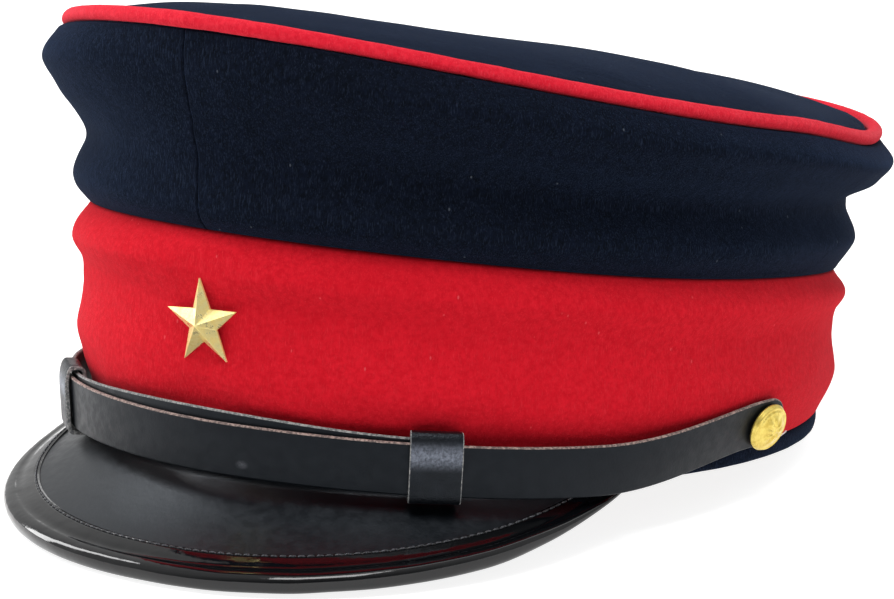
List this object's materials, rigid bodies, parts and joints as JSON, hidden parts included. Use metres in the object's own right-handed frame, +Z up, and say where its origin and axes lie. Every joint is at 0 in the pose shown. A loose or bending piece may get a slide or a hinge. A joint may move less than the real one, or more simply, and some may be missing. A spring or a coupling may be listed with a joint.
{
  "type": "military peaked cap",
  "caption": "Peaked cap with a domed wool crown, contrasting band and piping, leather peak, chin strap on side buttons and a star badge.",
  "frame": {"origin": "centre of the head opening, in the plane of the band's lower edge", "axes": "+Z up as worn, -Y to the front where the peak is, +X to the wearer's left"},
  "size_m": [0.2032, 0.2634, 0.1343],
  "materials": {
    "navy_wool": "brushed navy wool cloth",
    "red_wool": "scarlet wool cloth",
    "cotton_wadding": "soft cotton wadding",
    "canvas": "stiff linen canvas",
    "fibre_board": "pressed fibre board",
    "black_sateen": "satin-woven cotton",
    "tan_leather": "soft tan leather",
    "black_leather": "semi-matte grained leather",
    "peak_underside": "dull leather cloth",
    "patent_leather": "glossy patent leather",
    "strap_leather": "satin leather with raw cut edges",
    "keeper_leather": "glossy leather",
    "gilt_brass": "satin gilt",
    "plain_brass": "plain drawn brass"
  },
  "bodies": {
    "cap": {"crown_top": "navy_wool", "crown_side_left": "navy_wool", "crown_side_right": "navy_wool", "crown_piping": "red_wool", "crown_wadding": "cotton_wadding", "crown_interlining": "canvas", "crown_front_stay": "fibre_board", "lining_top": "black_sateen", "lining_side": "black_sateen", "red_band": "red_wool", "band_edging": "navy_wool", "band_stiffener": "fibre_board", "sweatband": "tan_leather", "sweatband_welt": "tan_leather", "sweatband_bow": "black_sateen", "peak_upper": "black_leather", "peak_board": "fibre_board", "peak_lining": "peak_underside", "peak_binding": "patent_leather", "star_badge": "gilt_brass", "star_backplate": "plain_brass"},
    "chin_strap": {"chin_strap_outer": "strap_leather", "chin_strap_under": "strap_leather"},
    "keeper_left": {"keeper_left": "keeper_leather"},
    "keeper_right": {"keeper_right": "keeper_leather"},
    "button_left": {"button_left": "gilt_brass", "button_pin_left": "plain_brass"},
    "button_right": {"button_right": "gilt_brass", "button_pin_right": "plain_brass"}
  },
  "joints": [
    {"name": "chin_strap_lift", "type": "hinge", "parent": "cap", "child": "chin_strap", "pos_m": [0, 0, 0.0106], "axis": [-1, 0, 0], "range_deg": [0, 1.5]},
    {"name": "keeper_left_slide", "type": "hinge", "parent": "chin_strap", "child": "keeper_left", "pos_m": [-0.0081, -0.0159, 0.005], "axis": [0, 0, 1], "range_deg": [-5, 5]},
    {"name": "keeper_right_slide", "type": "hinge", "parent": "chin_strap", "child": "keeper_right", "pos_m": [0.0081, -0.0159, 0.005], "axis": [0, 0, 1], "range_deg": [-5, 5]},
    {"name": "button_left_turn", "type": "hinge", "parent": "cap", "child": "button_left", "pos_m": [0.09425, 0, 0.0106], "axis": [0.956, -0.1005, -0.2756], "continuous": true},
    {"name": "button_right_turn", "type": "hinge", "parent": "cap", "child": "button_right", "pos_m": [-0.09425, 0, 0.0106], "axis": [-0.956, -0.1005, -0.2756], "continuous": true}
  ]
}
